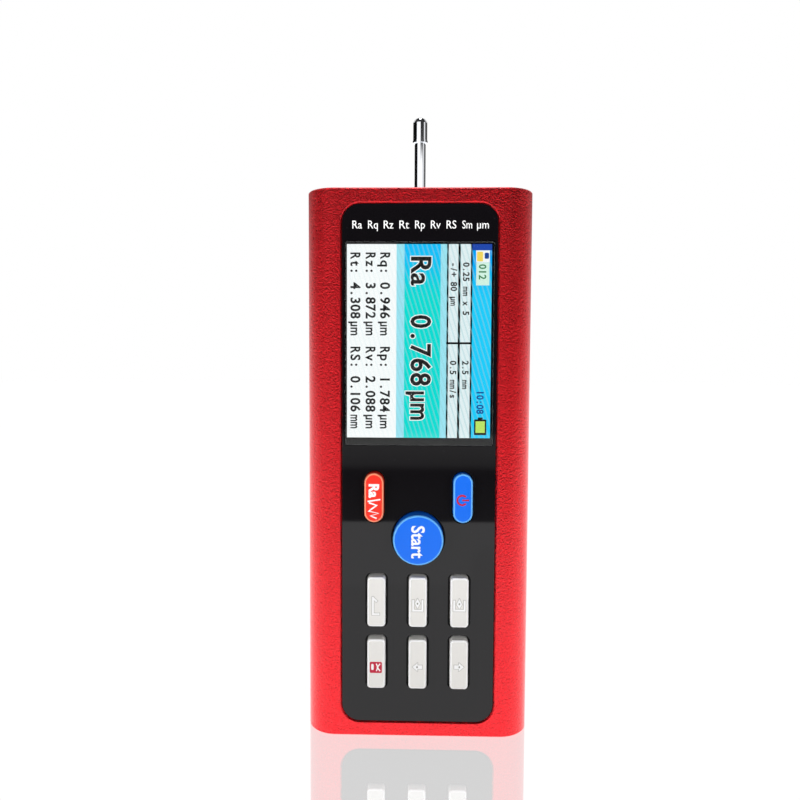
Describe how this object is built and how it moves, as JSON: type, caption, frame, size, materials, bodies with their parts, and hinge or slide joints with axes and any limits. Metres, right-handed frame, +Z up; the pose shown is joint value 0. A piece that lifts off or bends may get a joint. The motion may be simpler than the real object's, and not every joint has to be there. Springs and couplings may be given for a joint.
{
  "type": "surface roughness tester",
  "caption": "Hand-held surface roughness tester: red extruded metal housing, colour display, keypad, and a motor-driven stylus pickup that traverses at the top end",
  "frame": {"origin": "centre of the lower end, on the plane the tester stands on", "axes": "+Z up along the tube towards the pickup, -Y out of the front panel, +X to the right of the panel"},
  "size_m": [0.0576, 0.0496, 0.1693],
  "materials": {
    "red_metal": "bead-blasted, red anodised",
    "black_plastic": "moulded",
    "screw_steel": "zinc plated",
    "panel_black": "polished",
    "clear_window": "polished",
    "dark_steel": "blackened",
    "screen": "lit",
    "key_white": "satin",
    "key_blue": "satin",
    "key_red": "satin",
    "board": "solder mask",
    "chip_plastic": "moulded",
    "port_steel": "plated",
    "battery": "shrink sleeve",
    "brass": "turned",
    "bronze": "sintered",
    "bare_aluminium": "milled",
    "ground_steel": "ground",
    "chrome": "polished"
  },
  "bodies": {
    "instrument": {"housing": "red_metal", "top_cap": "black_plastic", "bottom_cap": "black_plastic", "top_cap_screws": "screw_steel", "bottom_cap_screws": "screw_steel", "front_panel": "panel_black", "display_window": "clear_window", "display_module": "dark_steel", "display_glass": "screen", "display_holder": "black_plastic", "key_frame": "black_plastic", "main_board": "board", "board_components": "chip_plastic", "data_socket": "port_steel", "switch_body": "chip_plastic", "battery_pack": "battery", "stand_socket": "brass", "drive_chassis": "bare_aluminium", "guide_rods": "ground_steel", "screw_bearings": "bronze", "gear_motor": "ground_steel", "motor_screws": "screw_steel"},
    "drive_screw": {"lead_screw": "ground_steel", "shaft_coupling": "bare_aluminium", "motor_shaft": "ground_steel"},
    "carriage": {"carriage": "bare_aluminium", "guide_bushes": "bronze", "drive_nut": "brass", "pivot_pins": "ground_steel"},
    "pickup": {"pickup_sheath": "dark_steel", "contact_block": "black_plastic", "contact_pins": "brass", "pickup_barrel": "chrome", "pickup_neck": "chrome", "skid_head": "chrome", "sensor_coils": "bronze", "stylus_pin": "ground_steel"},
    "stylus": {"stylus_lever": "dark_steel"},
    "battery_switch": {"switch_slider": "black_plastic"},
    "key_start": {"key_start": "key_blue"},
    "key_parameter": {"key_parameter": "key_red"},
    "key_power": {"key_power": "key_blue"},
    "key_enter": {"key_enter": "key_white"},
    "key_page_down": {"key_page_down": "key_white"},
    "key_page_up": {"key_page_up": "key_white"},
    "key_menu": {"key_menu": "key_white"},
    "key_left": {"key_left": "key_white"},
    "key_right": {"key_right": "key_white"}
  },
  "joints": [
    {"name": "screw_turn", "type": "hinge", "parent": "instrument", "child": "drive_screw", "pos_m": [0, 0.00885, 0.085], "axis": [0, 0, 1], "range_deg": [0, 3150]},
    {"name": "traverse", "type": "slide", "parent": "instrument", "child": "carriage", "axis": [0, 0, -1], "range_m": [0, 0.0175]},
    {"name": "pickup_float", "type": "hinge", "parent": "carriage", "child": "pickup", "pos_m": [0, 0.01765, 0.1], "axis": [-1, 0, 0], "range_deg": [-1, 2.8], "stiffness_Nm_per_rad": 0.1},
    {"name": "stylus_swing", "type": "hinge", "parent": "pickup", "child": "stylus", "pos_m": [0, 0.01765, 0.118], "axis": [-1, 0, 0], "range_deg": [-0.2, 0.2], "stiffness_Nm_per_rad": 0.05},
    {"name": "battery_switch_slide", "type": "slide", "parent": "instrument", "child": "battery_switch", "axis": [1, 0, 0], "range_m": [0, 0.002]},
    {"name": "start_press", "type": "slide", "parent": "instrument", "child": "key_start", "axis": [0, 1, 0], "range_m": [0, 0.0009], "stiffness_N_per_m": 600},
    {"name": "parameter_press", "type": "slide", "parent": "instrument", "child": "key_parameter", "axis": [0, 1, 0], "range_m": [0, 0.0009], "stiffness_N_per_m": 600},
    {"name": "power_press", "type": "slide", "parent": "instrument", "child": "key_power", "axis": [0, 1, 0], "range_m": [0, 0.0009], "stiffness_N_per_m": 600},
    {"name": "enter_press", "type": "slide", "parent": "instrument", "child": "key_enter", "axis": [0, 1, 0], "range_m": [0, 0.0009], "stiffness_N_per_m": 600},
    {"name": "page_down_press", "type": "slide", "parent": "instrument", "child": "key_page_down", "axis": [0, 1, 0], "range_m": [0, 0.0009], "stiffness_N_per_m": 600},
    {"name": "page_up_press", "type": "slide", "parent": "instrument", "child": "key_page_up", "axis": [0, 1, 0], "range_m": [0, 0.0009], "stiffness_N_per_m": 600},
    {"name": "menu_press", "type": "slide", "parent": "instrument", "child": "key_menu", "axis": [0, 1, 0], "range_m": [0, 0.0009], "stiffness_N_per_m": 600},
    {"name": "left_press", "type": "slide", "parent": "instrument", "child": "key_left", "axis": [0, 1, 0], "range_m": [0, 0.0009], "stiffness_N_per_m": 600},
    {"name": "right_press", "type": "slide", "parent": "instrument", "child": "key_right", "axis": [0, 1, 0], "range_m": [0, 0.0009], "stiffness_N_per_m": 600}
  ],
  "couplings": [
    {"joint": "screw_turn", "follows": "traverse", "rad_per_m": 3141.6}
  ]
}
